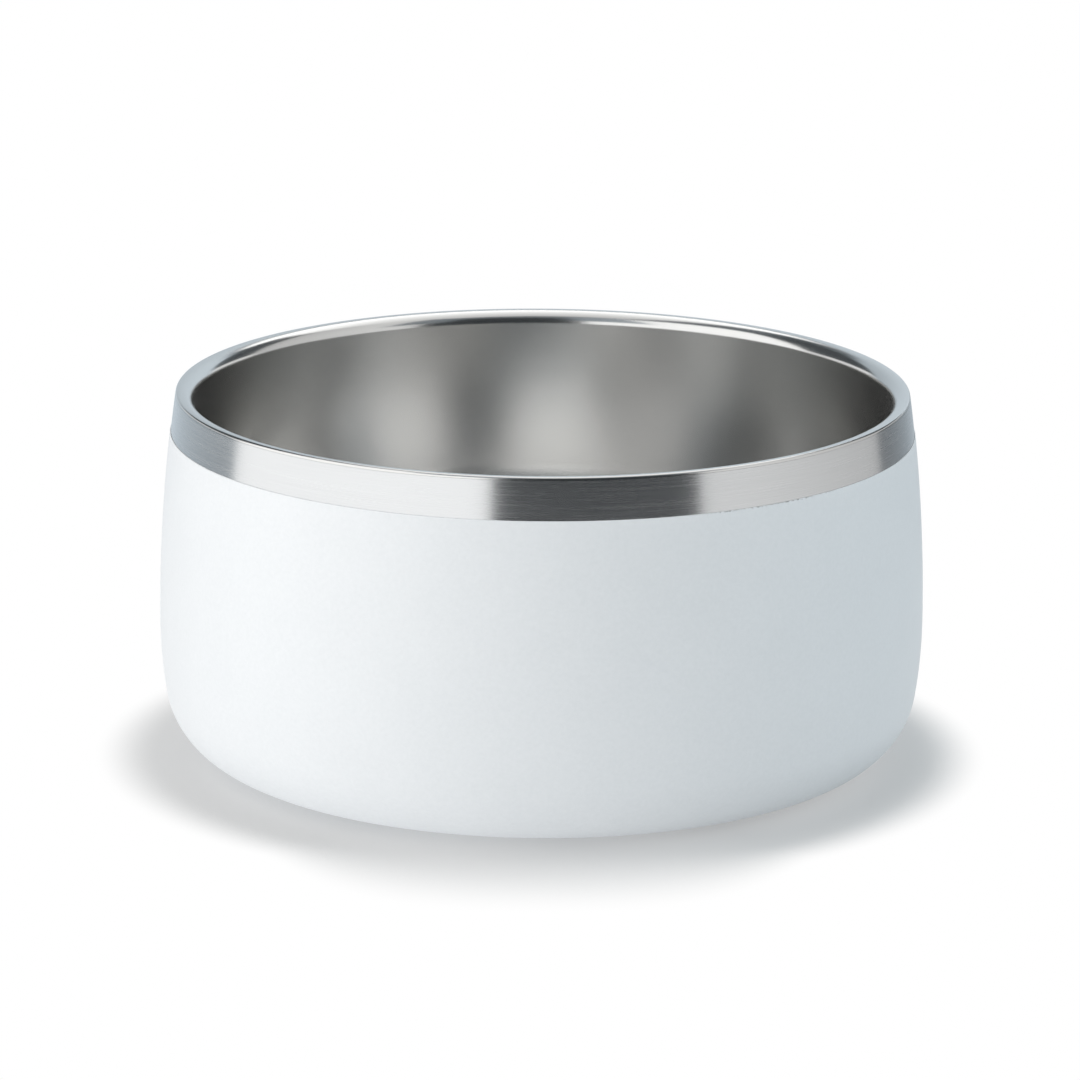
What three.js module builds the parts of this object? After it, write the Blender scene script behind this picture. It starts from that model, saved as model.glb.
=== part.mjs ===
// A double-walled stainless steel pet bowl. A drawn liner and a barrel-shaped outer shell are seamed at the
// lip, and a base plate closes the wall from below. The shell is powder coated up to a bare rim, and a silicone
// ring under the base keeps the bowl from sliding. The gap between the walls is evacuated through a port in the
// base plate, which a bead seals, and a getter pellet inside keeps the vacuum.
// Millimetres, +Z up, origin on the floor at the middle of the base.

import * as THREE from 'three';

// Driving dimensions of the outer shape, over bare steel
const overallHeight = 98;       // floor to the top of the lip
const bellyDiameter = 199.6;    // outer shell at its widest
const bellyHeight = 37.5;       // floor to the widest part
const rimDrawIn = 4.35;         // the wall leans in by this much between the belly and the lip
const lowerWallRadius = 125;    // curve of the wall below the belly
const cornerRadius = 20;        // curve from the wall into the base

// Sheets, coat and seams
const linerSheet = 0.8;
const shellSheet = 0.8;
const baseSheet = 0.8;
const coatThickness = 0.15;
const bareRimHeight = 10.7;     // top of the lip to the edge of the coat
const seamGap = 0.05;           // between faces that are welded or bonded together

// Liner
const lipEdgeRadius = 0.6;      // ground outer edge of the lip
const lipFlatWidth = 0.5;       // top of the lip between its edge and its roll
const lipRollRadius = 3.6;      // roll from the top of the lip into the inner wall
const straightWallRise = 45.5;  // liner's floor to the foot of its straight wall
const kneeRadius = 28;          // curve from the straight wall into the taper below it
const linerCornerRadius = 26;   // curve from the taper into the floor
const wallDraft = THREE.MathUtils.degToRad(1);
const taperLean = THREE.MathUtils.degToRad(30);

// Base plate and foot ring
const lapWidth = 4;             // base plate over the shell's turned-in edge
const lapMargin = 2.5;          // edge of the base plate to the curve of the shell's corner
const coatInset = 1.5;          // bare margin round the opening under the base
const footStandoff = 1;         // coated base above the floor
const footRingWidth = 12;
const footRingEdge = 0.5;       // chamfer on the ring's lower edges
const ringClearance = 0.3;      // foot ring to the steel beside it
const panelRise = 1.6;          // middle of the plate above the ring's channel
const panelSlope = 2.4;         // radial width of the slope between them

// Vacuum port and its seal
const portDiameter = 2.5;
const dimpleFloorDiameter = 10;
const dimpleSlope = 4;          // radial width of the dimple's slope
const dimpleDepth = 1.5;
const sealClearance = 0.3;      // bead to the slope of the dimple
const sealEdge = 0.5;           // thickness of the bead at its edge
const sealBulge = 0.5;          // drop of the bead's middle below its edge

// Getter and its clip
const getterDiameter = 8;
const getterHeight = 2.5;
const getterChamfer = 0.4;
const getterSetback = 12;       // rim of the dimple to the clip's nearer foot
const getterHeadroom = 1.8;     // clip to the liner's floor above it
const clipSheet = 0.3;
const clipWidth = 4;
const clipFoot = 3;             // length of each foot
const clipClearance = 0.1;      // clip to the pellet

// Fineness of the faceted surfaces
const facets = 64;              // round the bowl
const smallFacets = 24;         // round the small pieces
const chordError = 0.12;        // largest gap between an arc and its facets

// Finishes
const finish = {
  brushedSteel: { color: 0xc9c8c6, roughness: 0.3, metalness: 1 },
  satinSteel: { color: 0xb4b2af, roughness: 0.4, metalness: 1 },
  whiteCoat: { color: 0xeef1f3, roughness: 0.6, metalness: 0 },
  greySilicone: { color: 0x8d9498, roughness: 0.8, metalness: 0 },
  sealGlass: { color: 0x2b2f33, roughness: 0.25, metalness: 0 },
  sinteredMetal: { color: 0x55565a, roughness: 0.9, metalness: 0.6 },
};

// Profiles are lists of points in the half plane of the bowl's axis: x is the radius, y the height
const point = (radius, height) => new THREE.Vector2(radius, height);

// Points along an arc, as many as the chord error needs. Arcs at an offset from it get the same angles, so that
// faces that lie against each other have parallel facets.
function arc(centre, radius, from, to, offset = 0) {
  const widestStep = 2 * Math.acos(1 - chordError / radius);
  const steps = Math.ceil(Math.abs(to - from) / widestStep);
  const reach = radius + offset;
  return Array.from({ length: steps + 1 }, (_, i) => {
    const angle = from + ((to - from) * i) / steps;
    return point(centre.x + reach * Math.cos(angle), centre.y + reach * Math.sin(angle));
  });
}

// The path moved sideways by a distance, to the left of its direction, with mitred corners
function offsetPath(path, distance) {
  const last = path.length - 1;
  return path.map((here, i) => {
    const start = Math.min(i, last - 1);
    const end = Math.max(i, 1);
    const out = path[start + 1].clone().sub(path[start]).normalize();
    const into = path[end].clone().sub(path[end - 1]).normalize();
    const leftOut = point(-out.y, out.x);
    const mitre = point(-into.y, into.x).add(leftOut).normalize();
    return here.clone().addScaledVector(mitre, distance / mitre.dot(leftOut));
  });
}

// A solid of revolution about Z from an outline that closes on itself
function revolve(outline, count = facets) {
  const geometry = new THREE.LatheGeometry([...outline, outline[0].clone()], count);
  return geometry.rotateX(Math.PI / 2);
}

function piece(name, geometry, look) {
  const mesh = new THREE.Mesh(geometry, new THREE.MeshStandardMaterial(look));
  mesh.name = name;
  return mesh;
}

// The outer wall is three tangent arcs over bare steel: the long curve up to the rim, the tighter one below the
// belly and the corner into the flat base. Other faces of the wall lie at an offset from them.
const coatOffset = seamGap + coatThickness;
const shellBottom = footStandoff + coatOffset;
const bellyRadius = bellyDiameter / 2;
const rimRadius = bellyRadius - rimDrawIn;
const rimRise = overallHeight - bellyHeight;
const upperWallRadius = (rimRise ** 2 + rimDrawIn ** 2) / (2 * rimDrawIn);
const upperCentre = point(bellyRadius - upperWallRadius, bellyHeight);
const lowerCentre = point(bellyRadius - lowerWallRadius, bellyHeight);
const cornerHeight = shellBottom + cornerRadius;
const lowerSweep = Math.asin((bellyHeight - cornerHeight) / (lowerWallRadius - cornerRadius));
const cornerCentre = point(
  lowerCentre.x + (lowerWallRadius - cornerRadius) * Math.cos(lowerSweep),
  cornerHeight,
);
const coatEdgeAngle = Math.asin((rimRise - bareRimHeight) / upperWallRadius);

function wallRadiusAt(height) {
  return upperCentre.x + Math.sqrt(upperWallRadius ** 2 - (height - bellyHeight) ** 2);
}

// The face of the outer wall from the edge of the coat down to a radius on the flat base
function coatedFace(offset, baseRadius) {
  return [
    ...arc(upperCentre, upperWallRadius, coatEdgeAngle, 0, offset),
    ...arc(lowerCentre, lowerWallRadius, 0, -lowerSweep, offset).slice(1),
    ...arc(cornerCentre, cornerRadius, -lowerSweep, -Math.PI / 2, offset).slice(1),
    point(baseRadius, shellBottom - offset),
  ];
}

// The same face with the bare rim above it
function wholeFace(offset, topHeight, baseRadius) {
  const topAngle = Math.asin((topHeight - bellyHeight) / (upperWallRadius + offset));
  const bareRim = arc(upperCentre, upperWallRadius, topAngle, coatEdgeAngle, offset);
  return [...bareRim, ...coatedFace(offset, baseRadius).slice(1)];
}

// Heights and radii in the base, from the shell's turned-in edge up to the liner's floor
const plateRadius = cornerCentre.x - lapMargin;
const baseOpeningRadius = plateRadius - lapWidth;
const lapHeight = shellBottom + shellSheet + seamGap;
const panelHeight = lapHeight + panelRise;
const dimpleHeight = panelHeight + dimpleDepth;
const dimpleRadius = dimpleFloorDiameter / 2 + dimpleSlope;
const footRingOuter = baseOpeningRadius - ringClearance;
const footRingInner = footRingOuter - footRingWidth;
const getterSeat = panelHeight + baseSheet + seamGap;
const clipHeight = getterHeight + clipClearance + clipSheet;
const clipLegReach = getterDiameter / 2 + clipClearance + clipSheet;
const clipReach = clipLegReach + clipFoot;
const floorHeight = getterSeat + clipHeight + getterHeadroom + linerSheet;

// The outer shell stops under the lip's flange, which is welded to it and ground flush
function outerShell() {
  const topHeight = overallHeight - linerSheet - seamGap;
  const outside = wholeFace(0, topHeight, baseOpeningRadius);
  const inside = wholeFace(-shellSheet, topHeight, baseOpeningRadius);
  return piece('outer_shell', revolve([...inside, ...outside.reverse()]), finish.brushedSteel);
}

function powderCoat() {
  const outside = coatedFace(coatOffset, baseOpeningRadius + coatInset);
  const inside = coatedFace(seamGap, baseOpeningRadius + coatInset);
  return piece('powder_coat', revolve([...inside, ...outside.reverse()]), finish.whiteCoat);
}

// The liner's inner face runs from the lip's flange over the roll, down the drafted wall, round the knee into
// the taper and across the floor
function innerBowl() {
  const edgeRadius = Math.min(lipEdgeRadius, linerSheet);
  const flangeEdge = point(rimRadius - edgeRadius, overallHeight);
  const rollCentre = point(flangeEdge.x - lipFlatWidth, overallHeight - lipRollRadius);
  const roll = arc(rollCentre, lipRollRadius, Math.PI / 2, Math.PI - wallDraft);
  const wallTop = roll.at(-1);
  const kneeHeight = floorHeight + straightWallRise;
  const kneeWall = wallTop.x - (wallTop.y - kneeHeight) * Math.tan(wallDraft);
  const kneeCentre = point(
    kneeWall - kneeRadius * Math.cos(wallDraft),
    kneeHeight + kneeRadius * Math.sin(wallDraft),
  );
  const knee = arc(kneeCentre, kneeRadius, -wallDraft, -taperLean);
  const taperTop = knee.at(-1);
  const taperFootHeight = floorHeight + linerCornerRadius * (1 - Math.sin(taperLean));
  const taperFootRadius = taperTop.x - (taperTop.y - taperFootHeight) * Math.tan(taperLean);
  const filletCentre = point(
    taperFootRadius - linerCornerRadius * Math.cos(taperLean),
    floorHeight + linerCornerRadius,
  );
  const fillet = arc(filletCentre, linerCornerRadius, -taperLean, -Math.PI / 2);
  const innerFace = [flangeEdge, ...roll, ...knee, ...fillet, point(0, floorHeight)];
  const outerFace = offsetPath(innerFace, linerSheet);

  // The flange's ground edge carries the curve of the outer shell up to the lip
  const undersideHeight = overallHeight - linerSheet;
  const edgeCentre = point(flangeEdge.x, overallHeight - edgeRadius);
  const groundEdge = [
    point(wallRadiusAt(undersideHeight), undersideHeight),
    ...arc(edgeCentre, edgeRadius, 0, Math.PI / 2).slice(0, -1),
  ];
  return piece('inner_bowl', revolve([...groundEdge, ...innerFace, ...outerFace.reverse()]), finish.satinSteel);
}

// The base plate laps over the shell's turned-in edge. Its underside is a channel for the foot ring, a raised
// panel, and a dimple round the vacuum port.
function basePlate() {
  const channelInner = footRingInner - ringClearance;
  const underside = [
    point(portDiameter / 2, dimpleHeight),
    point(dimpleFloorDiameter / 2, dimpleHeight),
    point(dimpleRadius, panelHeight),
    point(channelInner - panelSlope, panelHeight),
    point(channelInner, lapHeight),
    point(plateRadius, lapHeight),
  ];
  const topside = offsetPath(underside, baseSheet);
  return piece('base_plate', revolve([...underside, ...topside.reverse()]), finish.satinSteel);
}

// The foot ring is bonded into the channel and stands proud of the coated base
function footRing() {
  const top = lapHeight - seamGap;
  const outline = [
    point(footRingInner + footRingEdge, 0),
    point(footRingOuter - footRingEdge, 0),
    point(footRingOuter, footRingEdge),
    point(footRingOuter, top),
    point(footRingInner, top),
    point(footRingInner, footRingEdge),
  ];
  return piece('foot_ring', revolve(outline), finish.greySilicone);
}

// The bead lies in the dimple, across the port, and its lower face is a shallow dome
function portSeal() {
  const top = dimpleHeight - seamGap;
  const radius = dimpleFloorDiameter / 2 - sealClearance;
  const domeRadius = (radius ** 2 + sealBulge ** 2) / (2 * sealBulge);
  const domeCentre = point(0, top - sealEdge - sealBulge + domeRadius);
  const domeSweep = Math.asin(radius / domeRadius);
  const dome = arc(domeCentre, domeRadius, -Math.PI / 2, domeSweep - Math.PI / 2);
  return piece('port_seal', revolve([...dome, point(radius, top), point(0, top)], smallFacets), finish.sealGlass);
}

function getterPellet() {
  const radius = getterDiameter / 2;
  const outline = [
    point(0, 0),
    point(radius, 0),
    point(radius, getterHeight - getterChamfer),
    point(radius - getterChamfer, getterHeight),
    point(0, getterHeight),
  ];
  return piece('getter_pellet', revolve(outline, smallFacets), finish.sinteredMetal);
}

// The clip is a strip bent into two feet, two legs and a strap over the pellet
function getterClip() {
  const topFace = [
    point(-clipReach, clipSheet),
    point(-clipLegReach, clipSheet),
    point(-clipLegReach, clipHeight),
    point(clipLegReach, clipHeight),
    point(clipLegReach, clipSheet),
    point(clipReach, clipSheet),
  ];
  const strip = new THREE.Shape([...topFace, ...offsetPath(topFace, -clipSheet).reverse()]);
  const geometry = new THREE.ExtrudeGeometry(strip, { depth: clipWidth, bevelEnabled: false });
  geometry.translate(0, 0, -clipWidth / 2).rotateX(Math.PI / 2);
  return piece('getter_clip', geometry, finish.satinSteel);
}

// The pellet and its clip sit together on top of the base plate, beside the dimple
const getter = new THREE.Group();
getter.position.set(dimpleRadius + getterSetback + clipReach, 0, getterSeat);
getter.add(getterPellet(), getterClip());

const petBowl = new THREE.Group();
petBowl.add(outerShell(), powderCoat(), innerBowl(), basePlate(), footRing(), portSeal(), getter);

export default petBowl;
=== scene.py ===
# %% [markdown]
# A steel pet bowl, modelled and finished in Blender
#
# The bowl is a double wall: a drawn steel liner inside, a barrel-shaped steel shell outside, a white
# powder coat on the shell, and a base plate with a silicone ring underneath. The packed CAD model gives
# the frame: where each piece is and how large it may be. This lesson draws the visible pieces again with
# far smoother curves, and then gives each one its finish.

# %% Load the packed bowl
import math

import bmesh
import bpy
from mathutils import Matrix, Vector


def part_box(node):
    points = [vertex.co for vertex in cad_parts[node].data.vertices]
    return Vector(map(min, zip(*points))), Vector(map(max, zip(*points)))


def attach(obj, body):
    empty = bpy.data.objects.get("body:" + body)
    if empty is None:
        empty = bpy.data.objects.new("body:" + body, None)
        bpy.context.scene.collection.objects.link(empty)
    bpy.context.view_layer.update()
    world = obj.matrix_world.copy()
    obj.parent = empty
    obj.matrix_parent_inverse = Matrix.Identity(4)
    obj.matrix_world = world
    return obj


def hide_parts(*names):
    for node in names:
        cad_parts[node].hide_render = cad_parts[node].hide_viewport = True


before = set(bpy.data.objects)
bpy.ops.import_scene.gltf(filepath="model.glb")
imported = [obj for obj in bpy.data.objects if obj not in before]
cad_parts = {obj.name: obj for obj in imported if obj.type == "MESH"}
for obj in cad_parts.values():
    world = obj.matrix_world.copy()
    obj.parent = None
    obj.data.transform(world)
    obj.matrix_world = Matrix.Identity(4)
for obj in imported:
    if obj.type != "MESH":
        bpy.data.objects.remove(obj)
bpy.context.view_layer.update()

mm = 0.001

# %% [markdown]
# The camera
#
# A product photograph of a bowl is taken from far away with a long lens, so that its ellipses stay flat
# and its sides nearly parallel. The lens, the height and the small roll below were found by fitting the
# rim, the edge of the coat and the sides of the bowl to the photograph. A camera can be aimed with a
# Track To constraint, but a written matrix also holds the roll, so it is used here.

# %% Place the camera
lens_length = 203.7
camera_place = Vector((-0.5, -1549.0, 464.6)) * mm
camera_tilt = math.radians(14.74)
camera_roll = math.radians(0.415)

bpy.ops.object.select_all(action="DESELECT")
bpy.ops.object.camera_add()
camera = bpy.context.object
camera.name = "photo_camera"
camera.data.lens = lens_length
camera.data.clip_end = 50
looking_ahead = Matrix.Rotation(math.pi / 2 - camera_tilt, 4, "X")
rolled_over = Matrix.Rotation(camera_roll, 4, "Z")
camera.matrix_world = Matrix.Translation(camera_place) @ looking_ahead @ rolled_over
bpy.context.scene.camera = camera
print("camera is", round(camera_place.length, 3), "m from the bowl")

# %% [markdown]
# Drawing round pieces
#
# Nearly every piece of a bowl is round, because it is drawn, spun or turned. It could be made from a
# cylinder that is inset, extruded and scaled loop by loop, but then its curves are only as good as the
# loops. A profile is more exact: one vertex is extruded along straight stretches and spun about an arc's
# centre along round ones, and the finished line is spun round the bowl's axis. These helpers are the pen
# for that.

# %% The profile pen
turn_steps = 192


def start_profile(name, radius, height):
    """A new mesh in edit mode that is one selected vertex, in the XZ plane."""
    bpy.ops.object.select_all(action="DESELECT")
    bpy.ops.mesh.primitive_plane_add(size=mm)
    bpy.context.object.name = name
    bpy.context.object.data.name = name
    bpy.ops.object.mode_set(mode="EDIT")
    bpy.ops.mesh.select_mode(type="VERT")
    bpy.ops.mesh.merge(type="CENTER")
    bpy.ops.transform.translate(value=(radius, 0, height))


def pen_place():
    """Where the profile's free end is, which is its selected vertex."""
    points = bmesh.from_edit_mesh(bpy.context.object.data).verts
    return next(point.co.copy() for point in points if point.select)


def line_to(radius, height):
    """Extrudes the free end in a straight line."""
    step = Vector((radius, 0, height)) - pen_place()
    bpy.ops.mesh.extrude_region_move(TRANSFORM_OT_translate={"value": step})


def arc_about(centre, angle, steps):
    """Spins the free end about a centre. A positive angle is clockwise, seen from the front."""
    bpy.ops.mesh.spin(steps=steps, angle=-angle, center=(centre[0], 0, centre[1]), axis=(0, 1, 0))


def revolve():
    """Spins the finished profile about the bowl's axis and closes its seam and poles."""
    bpy.ops.mesh.select_all(action="SELECT")
    bpy.ops.mesh.spin(steps=turn_steps, angle=2 * math.pi, center=(0, 0, 0), axis=(0, 0, 1))
    bpy.ops.mesh.select_all(action="SELECT")
    bpy.ops.mesh.remove_doubles(threshold=0.001 * mm)
    bpy.ops.mesh.normals_make_consistent(inside=False)
    bpy.ops.object.mode_set(mode="OBJECT")
    return bpy.context.object


print("steps round the bowl:", turn_steps)

# %% [markdown]
# Sheets and their edges
#
# Pressed sheet has the same thickness everywhere, and no edge on it is perfectly sharp. So a piece is
# drawn as the one face that shows, a Solidify modifier gives it its thickness, and a bevel rounds the
# rings of edges where the sheet is bent, ground or cut. The rings are found by their radius and height.

# %% Thickness and rounded rings
ring_reach = 0.01 * mm
crease_angle = math.radians(35)


def thicken(piece, thickness):
    """Gives a face its thickness, behind the side that it shows."""
    solidify = piece.modifiers.new("sheet", "SOLIDIFY")
    solidify.thickness = thickness
    solidify.offset = -1
    solidify.use_even_offset = True
    bpy.ops.object.modifier_apply(modifier=solidify.name)


def select_ring(piece, radius, height):
    """Opens a piece in edit mode with one ring of its edges selected."""
    bpy.ops.object.select_all(action="DESELECT")
    piece.select_set(True)
    bpy.context.view_layer.objects.active = piece
    bpy.ops.object.mode_set(mode="EDIT")
    bpy.ops.mesh.select_mode(type="EDGE")
    bpy.ops.mesh.select_all(action="DESELECT")
    mesh = bmesh.from_edit_mesh(piece.data)
    for edge in mesh.edges:
        off_ring = [math.hypot(p.co.xy.length - radius, p.co.z - height) for p in edge.verts]
        edge.select_set(max(off_ring) < ring_reach)
    bmesh.update_edit_mesh(piece.data)


def round_ring(piece, radius, height, width, steps=4):
    """Bevels one ring of edges into a round."""
    select_ring(piece, radius, height)
    bpy.ops.mesh.bevel(offset=width, segments=steps, profile=0.5, affect="EDGES")
    bpy.ops.object.mode_set(mode="OBJECT")


def finished(piece):
    """Smooths a piece except at its creases, and prints its size, volume and number of faces."""
    bpy.ops.object.select_all(action="DESELECT")
    piece.select_set(True)
    bpy.context.view_layer.objects.active = piece
    bpy.ops.object.shade_smooth_by_angle(angle=crease_angle)
    solid = bmesh.new()
    solid.from_mesh(piece.data)
    volume = round(solid.calc_volume(signed=True) / mm**3)
    size = [round(side / mm, 2) for side in piece.dimensions]
    print(piece.name, size, "mm,", volume, "mm3,", len(solid.faces), "faces")
    solid.free()


print("edges stay sharp past", round(math.degrees(crease_angle)), "degrees")

# %% [markdown]
# The outer shell
#
# The shell is one sheet. Its wall is three arcs that run into each other: a long one from the rim down
# to the belly, a tighter one below the belly, and the corner into the base. The radius of the long arc
# follows from how far the rim is drawn in. Under the base the sheet is turned in and cut to a round
# opening.

# %% Sizes of the outer wall
lip_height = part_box("inner_bowl")[1].z
belly_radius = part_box("outer_shell")[1].x
shell_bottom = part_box("outer_shell")[0].z
base_opening_radius = 72.03 * mm
belly_height = 37.5 * mm
rim_draw_in = 4.35 * mm
lower_wall_radius = 125 * mm
corner_radius = 20 * mm
sheet = 0.8 * mm
seam_gap = 0.05 * mm
bare_rim_height = 10.7 * mm

rim_rise = lip_height - belly_height
upper_wall_radius = (rim_rise**2 + rim_draw_in**2) / (2 * rim_draw_in)
upper_centre = (belly_radius - upper_wall_radius, belly_height)
lower_centre = (belly_radius - lower_wall_radius, belly_height)
corner_height = shell_bottom + corner_radius
lower_sweep = math.asin((belly_height - corner_height) / (lower_wall_radius - corner_radius))
corner_reach = (lower_wall_radius - corner_radius) * math.cos(lower_sweep)
corner_centre = (lower_centre[0] + corner_reach, corner_height)
print("long arc of the wall, mm:", round(upper_wall_radius / mm, 1))

# %% Draw the shell


def on_wall(angle, offset):
    """Radius and height of a point on the long arc, at an offset from the bare steel."""
    reach = upper_wall_radius + offset
    return upper_centre[0] + reach * math.cos(angle), upper_centre[1] + reach * math.sin(angle)


def draw_wall(name, top_angle, offset, base_radius):
    """The outer wall's face at an offset from the steel, from an angle on the long arc to the base."""
    start_profile(name, *on_wall(top_angle, offset))
    arc_about(upper_centre, top_angle, steps=24)
    arc_about(lower_centre, lower_sweep, steps=8)
    arc_about(corner_centre, math.pi / 2 - lower_sweep, steps=24)
    line_to(base_radius, shell_bottom - offset)
    return revolve()


cut_edge_round = 0.2 * mm
shell_top_angle = math.asin((rim_rise - sheet - seam_gap) / upper_wall_radius)
shell = draw_wall("brushed_shell", shell_top_angle, 0, base_opening_radius)
thicken(shell, sheet)
round_ring(shell, base_opening_radius, shell_bottom, cut_edge_round)
finished(shell)

# %% [markdown]
# The powder coat
#
# The coat follows the shell at a small offset, and stops at the masked line below the rim and again
# under the base. It is its own piece, because a bowl like this is sold in many colours and only the coat
# changes. A real coat has a soft edge where the mask was pulled off, so its edges are bevelled over most
# of its thickness.

# %% Draw the coat
coat_thickness = 0.15 * mm
coat_offset = seam_gap + coat_thickness
coat_inset = 1.5 * mm
coat_edge_round = 0.11 * mm
coat_edge_angle = math.asin((rim_rise - bare_rim_height) / upper_wall_radius)
coat_base_radius = base_opening_radius + coat_inset

coat = draw_wall("powder_coat_skin", coat_edge_angle, coat_offset, coat_base_radius)
thicken(coat, coat_thickness)
round_ring(coat, *on_wall(coat_edge_angle, coat_offset), coat_edge_round)
round_ring(coat, coat_base_radius, shell_bottom - coat_offset, coat_edge_round)
finished(coat)

# %% [markdown]
# The liner
#
# The liner is drawn from one sheet: a lip flange that lies over the shell's edge, a roll into the wall,
# a nearly upright wall, a knee into a taper, a fillet and a flat floor. The floor can't be seen in the
# photograph, but the far wall mirrors it, and the knee and the taper were chosen so that those
# reflections come out as they do there. Only the inner face is drawn, from the lip to the axis, and the
# thickness goes outwards, into the hidden gap. The flange is welded to the shell and ground: its lower
# edge is scaled out to meet the shell's face, and its upper edge is rounded.

# %% Sizes of the liner
lip_edge_radius = 0.6 * mm
lip_flat_width = 0.5 * mm
lip_roll_radius = 3.6 * mm
knee_radius = 28 * mm
floor_fillet_radius = 26 * mm
wall_draft = math.radians(1)
taper_lean = math.radians(30)
floor_height = 10 * mm
straight_wall_rise = 45.5 * mm

knee_height = floor_height + straight_wall_rise
rim_radius = belly_radius - rim_draw_in
roll_centre = (rim_radius - lip_edge_radius - lip_flat_width, lip_height - lip_roll_radius)
wall_top_radius = roll_centre[0] - lip_roll_radius * math.cos(wall_draft)
wall_top_height = roll_centre[1] + lip_roll_radius * math.sin(wall_draft)
wall_foot_radius = wall_top_radius - (wall_top_height - knee_height) * math.tan(wall_draft)
knee_centre = (
    wall_foot_radius - knee_radius * math.cos(wall_draft),
    knee_height + knee_radius * math.sin(wall_draft),
)
taper_top_radius = knee_centre[0] + knee_radius * math.cos(taper_lean)
taper_top_height = knee_centre[1] - knee_radius * math.sin(taper_lean)
taper_foot_height = floor_height + floor_fillet_radius * (1 - math.sin(taper_lean))
taper_foot_radius = taper_top_radius - (taper_top_height - taper_foot_height) * math.tan(taper_lean)
fillet_centre = (
    taper_foot_radius - floor_fillet_radius * math.cos(taper_lean),
    floor_height + floor_fillet_radius,
)
print("inner wall at the lip, mm:", round(wall_top_radius / mm, 2))
print("flat floor, mm:", round(fillet_centre[0] / mm, 2))

# %% Draw the liner
start_profile("steel_liner", rim_radius, lip_height)
line_to(roll_centre[0], lip_height)
arc_about(roll_centre, wall_draft - math.pi / 2, steps=24)
line_to(wall_foot_radius, knee_height)
arc_about(knee_centre, taper_lean - wall_draft, steps=24)
line_to(taper_foot_radius, taper_foot_height)
arc_about(fillet_centre, math.pi / 2 - taper_lean, steps=24)
line_to(0, floor_height)
liner = revolve()
thicken(liner, sheet)

flange_bottom = lip_height - sheet
flange_angle = math.asin((flange_bottom - belly_height) / upper_wall_radius)
flange_radius = on_wall(flange_angle, 0)[0]
flare = flange_radius / rim_radius
select_ring(liner, rim_radius, flange_bottom)
bpy.ops.transform.resize(value=(flare, flare, 1), center_override=(0, 0, 0))
bpy.ops.object.mode_set(mode="OBJECT")
round_ring(liner, rim_radius, lip_height, lip_edge_radius, steps=8)
finished(liner)

# %% [markdown]
# The base plate
#
# The plate is one pressing: a flat rim that is welded inside the shell's turned-in edge and carries the
# silicone ring, a raised panel, and a dimple round the port through which the wall was evacuated. It
# could be cut from a disc with insets, but a profile gives each bend its exact radius and height. Its
# underside shows, so that is the face that is drawn, and every bend and cut edge is rounded.

# %% Draw the base plate
plate_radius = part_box("base_plate")[1].x
lap_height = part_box("base_plate")[0].z
flat_rim_inner = 59.43 * mm
panel_edge = 57.03 * mm
panel_height = 3.65 * mm
dimple_radius = 9 * mm
dimple_floor_radius = 5 * mm
dimple_height = 5.15 * mm
port_radius = 1.25 * mm

start_profile("base_pan", plate_radius, lap_height)
line_to(flat_rim_inner, lap_height)
line_to(panel_edge, panel_height)
line_to(dimple_radius, panel_height)
line_to(dimple_floor_radius, dimple_height)
line_to(port_radius, dimple_height)
base_pan = revolve()
print("base plate, mm across:", round(2 * plate_radius / mm, 2))

# %% Turn its face down and give it thickness
bend_round = 1.0 * mm
dimple_round = 1.5 * mm

if base_pan.data.polygons[0].normal.z > 0:
    base_pan.data.flip_normals()
thicken(base_pan, sheet)
for ring in (
    (flat_rim_inner, lap_height, bend_round),
    (panel_edge, panel_height, bend_round),
    (dimple_radius, panel_height, dimple_round),
    (dimple_floor_radius, dimple_height, bend_round),
    (port_radius, dimple_height, cut_edge_round),
):
    round_ring(base_pan, *ring)
finished(base_pan)

# %% [markdown]
# The foot ring
#
# A silicone ring is glued to the plate's flat rim, inside the shell's opening, and lifts the coat a
# millimetre off the floor. It is moulded, so its outline is closed and all its edges are round. Three
# shallow grooves in its sole let it grip a wet floor; the sole between them stays at floor level.

# %% Draw the foot ring
ring_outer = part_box("foot_ring")[1].x
ring_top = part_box("foot_ring")[1].z
ring_width = 12 * mm
ring_inner = ring_outer - ring_width
groove_depth = 0.5 * mm
groove_mouth = 1.4 * mm
groove_floor = 0.8 * mm
groove_pitch = 3 * mm

start_profile("silicone_ring", ring_outer, ring_top)
line_to(ring_outer, 0)
groove_middles = [(ring_outer + ring_inner) / 2 + groove_pitch * step for step in (1, 0, -1)]
for middle in groove_middles:
    line_to(middle + groove_mouth / 2, 0)
    line_to(middle + groove_floor / 2, groove_depth)
    line_to(middle - groove_floor / 2, groove_depth)
    line_to(middle - groove_mouth / 2, 0)
line_to(ring_inner, 0)
line_to(ring_inner, ring_top)
line_to(ring_outer, ring_top)
silicone_ring = revolve()
print("grooves at, mm:", [round(middle / mm, 2) for middle in groove_middles])

# %% Round its edges
ring_edge_round = 0.5 * mm
groove_edge_round = 0.2 * mm

for radius in (ring_outer, ring_inner):
    round_ring(silicone_ring, radius, 0, ring_edge_round)
for middle in groove_middles:
    for side in (-1, 1):
        round_ring(silicone_ring, middle + side * groove_mouth / 2, 0, groove_edge_round)
finished(silicone_ring)

# %% [markdown]
# The seal of the port
#
# After the air is drawn out, a drop of sealing glass closes the port. It lies in the dimple as a shallow
# dome, pulled round by its own surface tension, so it is drawn as an arc with a rounded shoulder.

# %% Draw the seal
seal_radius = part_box("port_seal")[1].x
seal_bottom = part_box("port_seal")[0].z
seal_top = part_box("port_seal")[1].z
seal_bulge = 0.5 * mm
shoulder_round = 0.3 * mm
dome_radius = (seal_radius**2 + seal_bulge**2) / (2 * seal_bulge)

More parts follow.
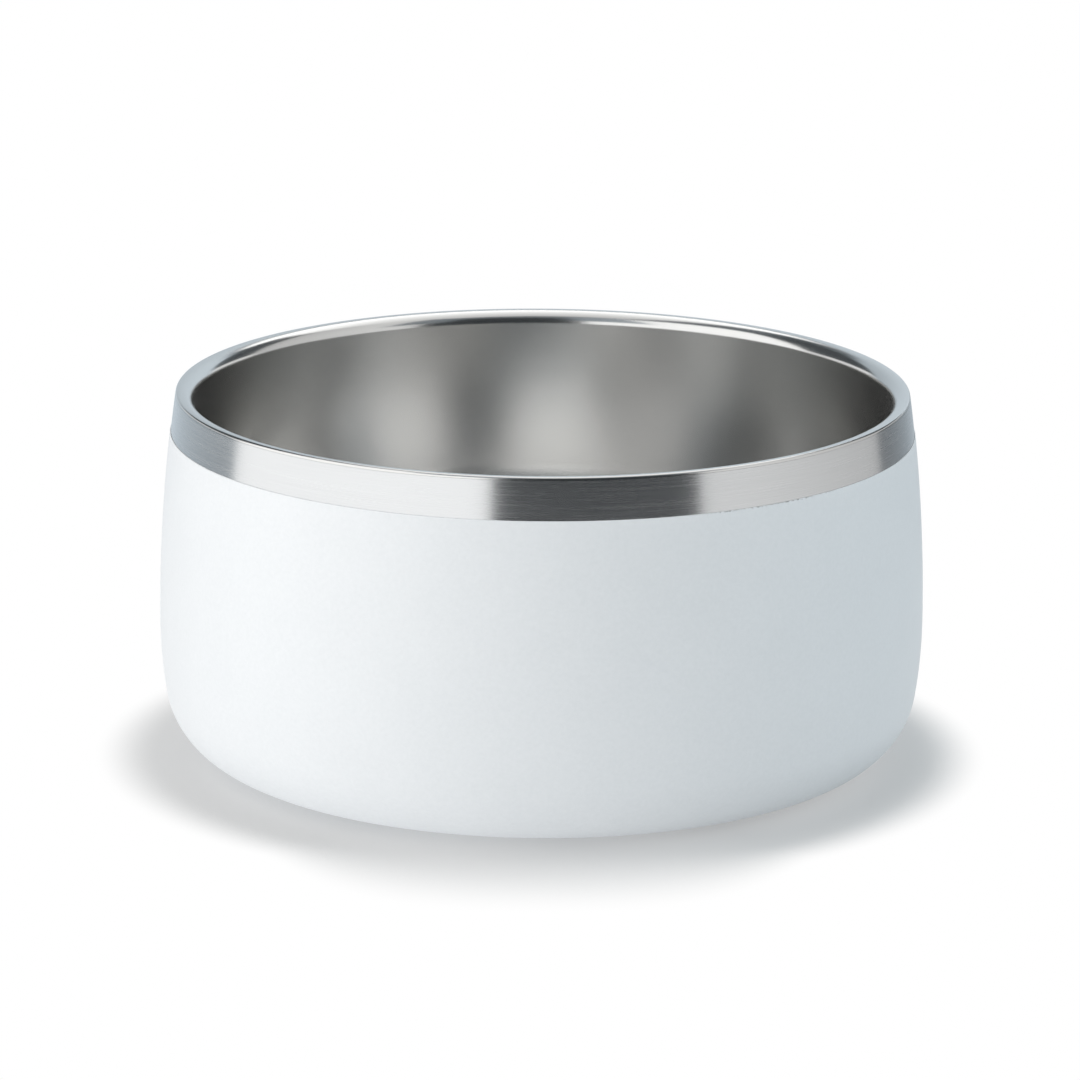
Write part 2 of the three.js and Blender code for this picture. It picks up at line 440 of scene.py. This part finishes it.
start_profile("glass_seal", 0, seal_bottom)
arc_about((0, seal_bottom + dome_radius), -math.asin(seal_radius / dome_radius), steps=12)
line_to(seal_radius, seal_top)
line_to(0, seal_top)
glass_seal = revolve()
round_ring(glass_seal, seal_radius, seal_bottom + seal_bulge, shoulder_round)
finished(glass_seal)

# %% [markdown]
# Shader maths
#
# A finish is a tree of nodes. Wiring each Math node by hand hides what is being worked out, so one small
# class wraps a socket: sums written in Python add the Math nodes, and one method adds any other node,
# first with its settings and then with the values or links of its sockets.

# %% A socket that can be reckoned with


class Wire:
    """One output socket of a node tree."""

    def __init__(self, tree, socket):
        self.tree = tree
        self.socket = socket

    def node(self, kind, settings, sockets, output=0):
        """Adds a node to the same tree and returns one of its outputs."""
        made = self.tree.nodes.new(kind)
        for name, value in settings.items():
            setattr(made, name, value)
        for name, value in sockets.items():
            if isinstance(value, Wire):
                value.feed(made.inputs[name])
            else:
                made.inputs[name].default_value = value
        return Wire(self.tree, made.outputs[output])

    def feed(self, socket):
        """Links this output to an input."""
        self.tree.links.new(self.socket, socket)

    def reckon(self, operation, *values):
        """A Math node over some values, which may be wires."""
        return self.node("ShaderNodeMath", {"operation": operation}, dict(enumerate(values)))

    def __add__(self, other):
        return self.reckon("ADD", self, other)

    def __sub__(self, other):
        return self.reckon("SUBTRACT", self, other)

    def __rsub__(self, other):
        return self.reckon("SUBTRACT", other, self)

    def __mul__(self, other):
        return self.reckon("MULTIPLY", self, other)

    def __truediv__(self, other):
        return self.reckon("DIVIDE", self, other)

    def __rtruediv__(self, other):
        return self.reckon("DIVIDE", other, self)

    __radd__ = __add__
    __rmul__ = __mul__

    def ramp(self, start, end, low=0.0, high=1.0):
        """Goes smoothly from low to high as this value goes from start to end."""
        limits = {"Value": self, "From Min": start, "From Max": end, "To Min": low, "To Max": high}
        return self.node("ShaderNodeMapRange", {"interpolation_type": "SMOOTHSTEP"}, limits)

    def side(self, name):
        """The X, Y or Z of this vector."""
        return self.node("ShaderNodeSeparateXYZ", {}, {0: self}, name)

    def stretched(self, x, y, z):
        """This vector with each of its sides multiplied."""
        return self.node("ShaderNodeVectorMath", {"operation": "MULTIPLY"}, {0: self, 1: (x, y, z)})

    def length(self):
        """The length of this vector."""
        return self.node("ShaderNodeVectorMath", {"operation": "LENGTH"}, {0: self}, "Value")

    def noise(self, scale, detail=2.0, roughness=0.5):
        """Noise from about 0.3 to 0.7 over this vector."""
        sockets = {"Vector": self, "Scale": scale, "Detail": detail, "Roughness": roughness}
        return self.node("ShaderNodeTexNoise", {}, sockets, "Fac")

    def tint(self, dark, light):
        """A colour between two others, with this value as the share of the second."""
        mixed = {"Factor": self, 6: (*dark, 1), 7: (*light, 1)}
        return self.node("ShaderNodeMix", {"data_type": "RGBA"}, mixed, 2)

    def toward(self, other, share):
        """This colour, mixed with another by a share."""
        mixed = {"Factor": share, 6: self, 7: (*other, 1)}
        return self.node("ShaderNodeMix", {"data_type": "RGBA"}, mixed, 2)

    def bump(self, distance):
        """A normal from this value as a height, where 1 is a distance."""
        return self.node("ShaderNodeBump", {}, {"Distance": distance, "Height": self}, "Normal")


print("a wire can:", [name for name in vars(Wire) if not name.startswith("_")])

# %% A new finish


def new_finish(name, constants):
    """A material with its constants set, its shader's inputs, and its place on the bowl as a wire."""
    finish = bpy.data.materials.new(name)
    finish.use_nodes = True
    nodes = finish.node_tree.nodes
    inputs = nodes["Principled BSDF"].inputs
    for socket, value in constants.items():
        inputs[socket].default_value = value
    coordinates = nodes.new("ShaderNodeTexCoord")
    return finish, inputs, Wire(finish.node_tree, coordinates.outputs["Object"])


# %% [markdown]
# The brushed rim
#
# The bare steel of the shell is brushed round the bowl. Brushing leaves fine scratches along one
# direction, so a reflection stays sharp along them and is drawn out across them: that is what
# Anisotropic does. With no tangent linked it runs round the Z axis, and a quarter turn stretches the
# reflection up and down. Scratches that are wide enough to be seen singly could be a picture, but noise
# that is stretched round the bowl gives them at any size. They change the colour, the roughness and the
# height of the surface a little.

# %% Brushed steel
brushed_steel, inputs, place = new_finish(
    "brushed_steel", {"Metallic": 1.0, "Anisotropic": 0.9, "Anisotropic Rotation": 0.25}
)
hairlines = place.stretched(30, 30, 8000).noise(1.0, detail=3)
passes = place.stretched(9, 9, 1500).noise(1.0)
scratches = hairlines * 0.75 + passes * 0.25
scratches.tint((0.63, 0.64, 0.645), (0.78, 0.79, 0.795)).feed(inputs["Base Color"])
scratches.ramp(0.3, 0.7, 0.22, 0.28).feed(inputs["Roughness"])
scratches.bump(0.002 * mm).feed(inputs["Normal"])
print("brushed_steel:", len(brushed_steel.node_tree.nodes), "nodes")

# %% [markdown]
# The liner's satin and its polished lip
#
# The liner is tumbled or blasted to an even satin, and its lip is buffed after welding. Two materials on
# two groups of faces would leave a hard line between them, so one material does both, with a mask of
# height that runs from one finish to the other just below the lip. The satin is a fine grain without
# direction. A faint line is left round the wall where the press stopped, and a second mask lets it show
# only in places.

# %% Satin steel with a polished lip
satin_steel, inputs, place = new_finish(
    "satin_steel", {"Metallic": 1.0, "Anisotropic": 0.3, "Anisotropic Rotation": 0.25}
)
polish_start = 94.0 * mm
polish_end = 95.0 * mm
press_height = 84.0 * mm
press_half_width = 0.3 * mm
lip_roughness = 0.19

height = place.side("Z")
polish = height.ramp(polish_start, polish_end)
grain = place.noise(2600)
cloud = place.noise(45, detail=3)
worn = place.noise(25).ramp(0.45, 0.6)
below_line = height.ramp(press_height - press_half_width, press_height)
above_line = height.ramp(press_height + press_half_width, press_height)
press_line = below_line * above_line * worn
satin = grain.ramp(0.3, 0.7, 0.21, 0.225)
(satin * (1 - polish) + polish * lip_roughness).feed(inputs["Roughness"])
sheen = grain * 0.3 + cloud * 0.2 + polish * 0.1 + press_line * 0.25
sheen.tint((0.687, 0.685, 0.673), (0.869, 0.867, 0.855)).feed(inputs["Base Color"])
(grain * (1 - polish)).bump(0.0003 * mm).feed(inputs["Normal"])
print("satin_steel:", len(satin_steel.node_tree.nodes), "nodes")

# %% [markdown]
# The coat's peel and its masked edge
#
# Powder is sprayed on dry and baked until it flows together. It never gets quite flat, and keeps a fine
# peel, about five times as wide as the coat is thick. The peel could be modelled, but it is far finer
# than the mesh, so it is noise in a bump. The powder also lies a little thicker or thinner here and
# there, which is a slow change of colour. Along the edge, where the mask was pulled off, one stretch is
# ragged, and the small shadows in its nicks are painted on as dark grey specks.

# %% White powder coat
powder_white, inputs, place = new_finish("powder_white", {"IOR": 1.5, "Specular IOR Level": 0.4})
nick_shadow_depth = 0.35 * mm
mask_edge = 0.05 * mm
nick_shadows_start = 36 * mm
nick_shadows_end = 76 * mm
nick_shadows_fade = 10 * mm

peel = place.noise(900, detail=2.5, roughness=0.55)
cloud = place.noise(60)
coat_edge_height = lip_height - bare_rim_height
edge = place.side("Z").ramp(coat_edge_height - nick_shadow_depth, coat_edge_height - mask_edge)
across = place.side("X")
stretch_start = across.ramp(nick_shadows_start, nick_shadows_start + nick_shadows_fade)
stretch_end = across.ramp(nick_shadows_end, nick_shadows_end - nick_shadows_fade)
# Painted shade: dark grey specks in the coat's colour stand for the small shadows in the ragged nicks
# along its edge.
painted_nick_shadows = edge * (stretch_start * stretch_end) * place.noise(2000).ramp(0.5, 0.56)
powder = (peel * 0.7 + cloud * 0.3).tint((0.74, 0.775, 0.80), (0.83, 0.86, 0.885))
powder.toward((0.2, 0.205, 0.21), painted_nick_shadows * 0.85).feed(inputs["Base Color"])
peel.ramp(0.3, 0.7, 0.5, 0.62).feed(inputs["Roughness"])
peel.bump(0.05 * mm).feed(inputs["Normal"])
print("powder_white:", len(powder_white.node_tree.nodes), "nodes")

# %% [markdown]
# The sheet of the base
#
# Nobody polishes the underside, so the plate keeps the skin that the rolling mill gave it: faint
# straight lines from the rolls, and a cloudy dullness. Towards the edge, where the plate was welded in,
# and round the port, the heat has left a straw colour. Both are masks of the distance from the bowl's
# axis.

# %% Rolled steel
base_steel, inputs, place = new_finish("base_steel", {"Metallic": 1.0, "Anisotropic": 0.3})
weld_heat_radii = (60 * mm, 71 * mm)
port_heat_radii = (11 * mm, 4 * mm)

roll_lines = place.stretched(40, 2400, 40).noise(1.0, detail=3)
dullness = place.noise(90, detail=3)
skin = roll_lines * 0.5 + dullness * 0.5
from_axis = place.stretched(1, 1, 0).length()
weld_heat = from_axis.ramp(*weld_heat_radii)
port_heat = from_axis.ramp(*port_heat_radii)
heat = weld_heat.reckon("MAXIMUM", weld_heat, port_heat) * dullness.ramp(0.3, 0.7, 0.3, 0.8)
rolled = skin.tint((0.5, 0.495, 0.485), (0.66, 0.655, 0.645))
rolled.toward((0.56, 0.43, 0.27), heat).feed(inputs["Base Color"])
skin.ramp(0.3, 0.7, 0.3, 0.44).feed(inputs["Roughness"])
roll_lines.bump(0.003 * mm).feed(inputs["Normal"])
print("base_steel:", len(base_steel.node_tree.nodes), "nodes")

# %% [markdown]
# Silicone, glass and sintered metal
#
# Silicone comes out of a blasted mould, so it is matte with a fine tooth, and it holds a little dust in
# cloudy patches. The sealing glass is dark and glossy, with slow waves from its melting. The pellet in
# the gap is pressed from powder and sintered, so it is full of pores: it can't be seen from outside, but
# a part that is cut open should show it. Each is a few layers of noise at the scale of the real thing.

# %% Grey silicone
silicone_grey, inputs, place = new_finish("silicone_grey", {"IOR": 1.41, "Specular IOR Level": 0.35})
tooth = place.noise(2200, detail=3)
dust = place.noise(70, detail=3).ramp(0.4, 0.7)
bare = tooth.tint((0.22, 0.245, 0.26), (0.29, 0.31, 0.325))
bare.toward((0.42, 0.425, 0.42), dust * 0.4).feed(inputs["Base Color"])
(tooth.ramp(0.3, 0.7, 0.58, 0.7) + dust * 0.12).feed(inputs["Roughness"])
tooth.bump(0.03 * mm).feed(inputs["Normal"])
print("silicone_grey:", len(silicone_grey.node_tree.nodes), "nodes")

# %% Sealing glass and sintered metal
seal_glass, inputs, place = new_finish("seal_glass", {"IOR": 1.52})
wave = place.noise(450, detail=1)
specks = place.noise(3000).ramp(0.55, 0.7)
(wave * 0.5 + specks * 0.4).tint((0.018, 0.02, 0.024), (0.05, 0.055, 0.062)).feed(inputs["Base Color"])
(wave.ramp(0.3, 0.7, 0.08, 0.14) + specks * 0.1).feed(inputs["Roughness"])
wave.bump(0.08 * mm).feed(inputs["Normal"])

sintered_metal, inputs, place = new_finish("sintered_metal", {"Metallic": 0.6})
pores = place.noise(4000, detail=4)
pores.tint((0.06, 0.06, 0.065), (0.17, 0.17, 0.175)).feed(inputs["Base Color"])
pores.ramp(0.3, 0.7, 0.95, 0.75).feed(inputs["Roughness"])
pores.bump(0.06 * mm).feed(inputs["Normal"])
print("seal_glass:", len(seal_glass.node_tree.nodes), "nodes")
print("sintered_metal:", len(sintered_metal.node_tree.nodes), "nodes")

# %% [markdown]
# A white table
#
# The bowl stands on a white table whose edge melts into a white background. A lit floor is never exactly
# white, and its far edge would show as a line. So away from the bowl the camera sees an even white glow,
# and near the bowl it sees a matte surface that takes the real shadow, with a soft change between them.
# A little painted light is mixed over that shadow too: more at the front than at the sides, and most
# under the bowl's right edge, and the shadow's soft edge is wider at the front. Light Path tells the two
# kinds of rays apart: what the eye sees, directly or in steel, and the light that the table sends on to
# the bowl. That light is painted bounce light, because the table glows on to the bowl, and it is
# stronger on the left, where the brighter lamp stands. Seen from below, the table is clear, and it glows
# inside the foot ring, so that the base can be looked at. It lies a hair under the ring, because two
# faces in one plane flicker.

# %% Sizes and glow of the table
white = (1, 1, 1)
table_matte = (0.68, 0.68, 0.68)
table_radius = 300 * mm
table_drop = 0.05 * mm
base_edge = (72 * mm, 60 * mm)
front_turn = (-0.8, -1.0)
right_edge = (100 * mm, 84 * mm)
right_reach = (0, 80 * mm)
# Painted light over the table's real shadow: near the bowl a share of white glow is mixed in, more at
# the front than at the sides, and most under the bowl's right edge.
side_fade = (100.5 * mm, 118 * mm)
side_glow = 0.1
front_fade = (94 * mm, 140 * mm)
front_glow = 0.2
base_glow = 0.55
painted_right_glow = 0.25
# Painted bounce light: how strongly the table glows on to the bowl, from strong on the left to almost
# nothing on the right.
painted_bounce_reach = (-100 * mm, 120 * mm)
painted_bounce_left = 0.95
painted_bounce_right = 0.03
print("shadow fades, mm:", [round(radius / mm, 1) for radius in side_fade + front_fade])

# %% What the eye sees


def seen_by_eye(tree):
    """1 for what the camera sees, directly or in metal and glass, and 0 for light on the bowl."""
    light_path = tree.nodes.new("ShaderNodeLightPath")
    kinds = ("Is Camera Ray", "Is Glossy Ray", "Is Transmission Ray")
    camera_ray, glossy_ray, clear_ray = (Wire(tree, light_path.outputs[kind]) for kind in kinds)
    either = camera_ray + glossy_ray + clear_ray
    return either.reckon("MINIMUM", either, 1)


# %% Draw the table
bpy.ops.object.select_all(action="DESELECT")
bpy.ops.mesh.primitive_circle_add(
    vertices=96, radius=table_radius, fill_type="NGON", location=(0, 0, -table_drop)
)
table = bpy.context.object
table.name = "table"
print("table:", round(2 * table_radius / mm), "mm across")

# %% How far it glows
table_white = bpy.data.materials.new("table_white")
table_white.use_nodes = True
tree = table_white.node_tree
tree.nodes.clear()
place = Wire(tree, tree.nodes.new("ShaderNodeTexCoord").outputs["Object"])
from_bowl = place.length()
under_base = from_bowl.ramp(*base_edge)
front = (place.side("Y") / from_bowl).ramp(*front_turn) * (1 - under_base)
fade_start, fade_end = (side + front * (ahead - side) for side, ahead in zip(side_fade, front_fade))
# Painted light that lightens the table's shadow under the bowl's right edge.
under_edge = from_bowl.ramp(*right_edge) * (1 - under_base)
painted_right_mask = under_edge * place.side("X").ramp(*right_reach)
low_glow = side_glow + front * (front_glow - side_glow) + painted_right_mask * painted_right_glow
contact_glow = low_glow + under_base * base_glow
eye = seen_by_eye(tree)
# Painted bounce light: for light on the bowl, the table glows much more on the left than on the right.
painted_bounce = place.side("X").ramp(*painted_bounce_reach, painted_bounce_left, painted_bounce_right)
glow_share = eye * from_bowl.ramp(fade_start, fade_end, contact_glow, 1) + (1 - eye) * painted_bounce
print("glow of the table:", len(tree.nodes), "nodes")

# %% Its surface
matte = place.node("ShaderNodeBsdfDiffuse", {}, {"Color": (*table_matte, 1)})
glow = place.node("ShaderNodeEmission", {}, {"Color": (*white, 1)})
surface = place.node("ShaderNodeMixShader", {}, {0: glow_share, 1: matte, 2: glow})
from_below = place.node("ShaderNodeNewGeometry", {}, {}, "Backfacing")
clear = place.node("ShaderNodeBsdfTransparent", {}, {})
one_sided = place.node("ShaderNodeMixShader", {}, {0: from_below, 1: surface, 2: clear})
one_sided.feed(tree.nodes.new("ShaderNodeOutputMaterial").inputs["Surface"])
table.data.materials.append(table_white)
print("table_white:", len(tree.nodes), "nodes")

# %% [markdown]
# The room
#
# White walls send a little bluish light from all sides. The camera, and steel that mirrors the room, see
# them as plain white. The same Light Path mask as on the table tells the two apart.

# %% The room's light
ambient_light = (0.35, 0.372, 0.38)
room = bpy.data.worlds.new("room")
bpy.context.scene.world = room
room.use_nodes = True
backdrop = room.node_tree.nodes["Background"]
seen_by_eye(room.node_tree).tint(ambient_light, white).feed(backdrop.inputs["Color"])
bpy.context.scene.view_settings.view_transform = "Standard"
print("light from the room:", ambient_light)

# %% [markdown]
# Softboxes and cards
#
# Steel shows little but what stands round it, so a steel bowl is lit with large even surfaces: a softbox
# on each side, a cloth overhead, and black cards that draw the dark stripes. One object could both light
# the bowl and show in its steel, but then no stripe can be changed without changing the white coat too.
# So each job has its own objects here. Lamps light the bowl and don't show in reflections, and cards
# show only in reflections. Each stands at the angles at which the photograph's stripes need it. Two
# small flags dim the upper corners of the side cloths, for the reflections inside the bowl.

# %% Where a panel stands
rim_height = 95 * mm


def around(azimuth, reach, height):
    """A place round the bowl. Azimuth 0 is towards the camera, and 90 degrees is to the right."""
    turn = math.radians(azimuth)
    return Vector((reach * math.sin(turn), -reach * math.cos(turn), height))


def facing(place, target):
    """A matrix at a place that looks at a target along its -Z."""
    return Matrix.Translation(place) @ (target - place).to_track_quat("-Z", "Y").to_matrix().to_4x4()


def upright(azimuths, elevations, reach):
    """The matrix, width and height of an upright panel that covers these angles, seen from the rim."""
    middle = sum(azimuths) / 2
    half_turn = math.radians(azimuths[1] - azimuths[0]) / 2
    low, high = (rim_height + reach * math.tan(math.radians(elevation)) for elevation in elevations)
    height = (low + high) / 2
    stand = facing(around(middle, reach, height), Vector((0, 0, height)))
    return stand, 2 * reach * math.tan(half_turn), high - low


def overhead(place, width, depth):
    """The matrix and sides of a level panel. Its left edge is the one towards the camera."""
    below = Vector((place.x, place.y, 0))
    return facing(place, below) @ Matrix.Rotation(math.pi / 2, 4, "Z"), depth, width


left_panel = upright((-102.6, -14.4), (-42, 58), 0.6)
right_panel = upright((45.6, 119.1), (-42, 57), 0.6)
right_lamp_panel = upright((45.6, 119.1), (-5, 62), 0.6)
fill_panel = upright((-30, 0), (-10, 25), 1.4)
rear_panel = upright((150, 210), (0, 40), 1.4)
top_panel = overhead(Vector((0.1, 0.44, 1.1)), 0.98, 1.72)
top_cloth_panel = overhead(Vector((0.18, 0.44, 1.1)), 1.14, 1.72)
print("left panel, m:", round(left_panel[1], 2), "by", round(left_panel[2], 2))

# %% The lamps
cool = (0.86, 0.95, 1.0)
warm = (1.0, 0.945, 0.91)


def lamp(name, panel, tint, radiance):
    """A soft lamp that lights the bowl, and doesn't show in reflections."""
    stand, width, tall = panel
    bpy.ops.object.select_all(action="DESELECT")
    bpy.ops.object.light_add(type="AREA")
    made = bpy.context.object
    made.name = name
    made.data.shape = "RECTANGLE"
    made.data.size = width
    made.data.size_y = tall
    made.data.color = tint
    made.data.energy = math.pi * radiance * width * tall
    made.matrix_world = stand
    made.visible_camera = False
    made.visible_glossy = False
    print(name, round(made.data.energy, 2), "W")


lamp("left_lamp", left_panel, warm, 1.13)
lamp("right_lamp", right_lamp_panel, cool, 0.84)
lamp("top_lamp", top_panel, white, 0.7)
lamp("fill_lamp", fill_panel, white, 0.7)
lamp("rear_lamp", rear_panel, white, 0.5)

# %% The cards
dusk = (0.82, 0.92, 1.0)


def card(name, panel, tint, left, right):
    """A card that shows only in reflections, with the brightness of its left and right edges."""
    stand, width, tall = panel
    bpy.ops.object.select_all(action="DESELECT")
    bpy.ops.mesh.primitive_plane_add(size=1)
    made = bpy.context.object
    made.name = name
    made.matrix_world = stand @ Matrix.Diagonal((width, tall, 1, 1))
    made.visible_camera = False
    made.visible_diffuse = False
    made.visible_shadow = False
    cloth = bpy.data.materials.new(name)
    cloth.use_nodes = True
    tree = cloth.node_tree
    tree.nodes.clear()
    place = Wire(tree, tree.nodes.new("ShaderNodeTexCoord").outputs["Object"])
    edges = [tuple(brightness * part for part in tint) for brightness in (left, right)]
    shade = place.side("X").ramp(-0.5, 0.5).tint(*edges) if left != right else (*edges[0], 1)
    glow = place.node("ShaderNodeEmission", {}, {"Color": shade})
    glow.feed(tree.nodes.new("ShaderNodeOutputMaterial").inputs["Surface"])
    made.data.materials.append(cloth)
    print(name, round(width, 2), "by", round(tall, 2), "m")


card("left_cloth", left_panel, white, 1.24, 1.24)
card("right_cloth", right_panel, white, 0.84, 0.6)
card("top_cloth", top_cloth_panel, white, 0.7, 1.65)
card("front_dark", upright((-25, 60), (-40, 62), 1.2), dusk, 0.046, 0.046)
card("rear_wall", upright((143, 217), (-2, 33), 1.2), dusk, 0.86, 0.58)
card("rear_left_wall", upright((-172, -102), (-32, 2), 0.9), dusk, 0.8, 0.38)
card("rear_right_wall", upright((112, 182), (-32, 2), 0.9), dusk, 0.11, 0.74)
card("left_dark", upright((-146, -98), (9, 50), 0.95), dusk, 0.08, 0.08)
card("right_dark", upright((98, 146), (9, 50), 0.95), dusk, 0.08, 0.08)
card("left_flag", upright((-42, -12), (30, 62), 0.5), dusk, 0.4, 0.4)
card("right_flag", upright((38, 62), (30, 62), 0.5), dusk, 0.25, 0.25)
card("ceiling", overhead(Vector((0, 0, 1.5)), 6, 6), dusk, 0.16, 0.16)

# %% [markdown]
# Putting the bowl together
#
# The bowl has no moving joints: everything is welded, coated, pressed or glued to everything else. So
# every piece rides on the one body of the packed model. Each piece takes the place of its CAD node,
# which is hidden but still gives the bowl its weight and its contacts. The pellet and its clip keep
# their CAD shapes, and get a finish.

# %% Finish and place of each piece
for piece, node, slot, look in (
    (shell, "outer_shell", "shell_steel", brushed_steel),
    (coat, "powder_coat", "powder_coat", powder_white),
    (liner, "inner_bowl", "liner_steel", satin_steel),
    (base_pan, "base_plate", "base_steel", base_steel),
    (silicone_ring, "foot_ring", "silicone", silicone_grey),
    (glass_seal, "port_seal", "port_seal", seal_glass),
):
    piece.data.materials.append(look)
    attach(piece, "root")
    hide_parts(node)
    print(piece.name, "stands for", node)

for node, look in (("getter_pellet", sintered_metal), ("getter_clip", base_steel)):
    for material_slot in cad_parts[node].material_slots:
        material_slot.material = look
    print(node, "gets", look.name)
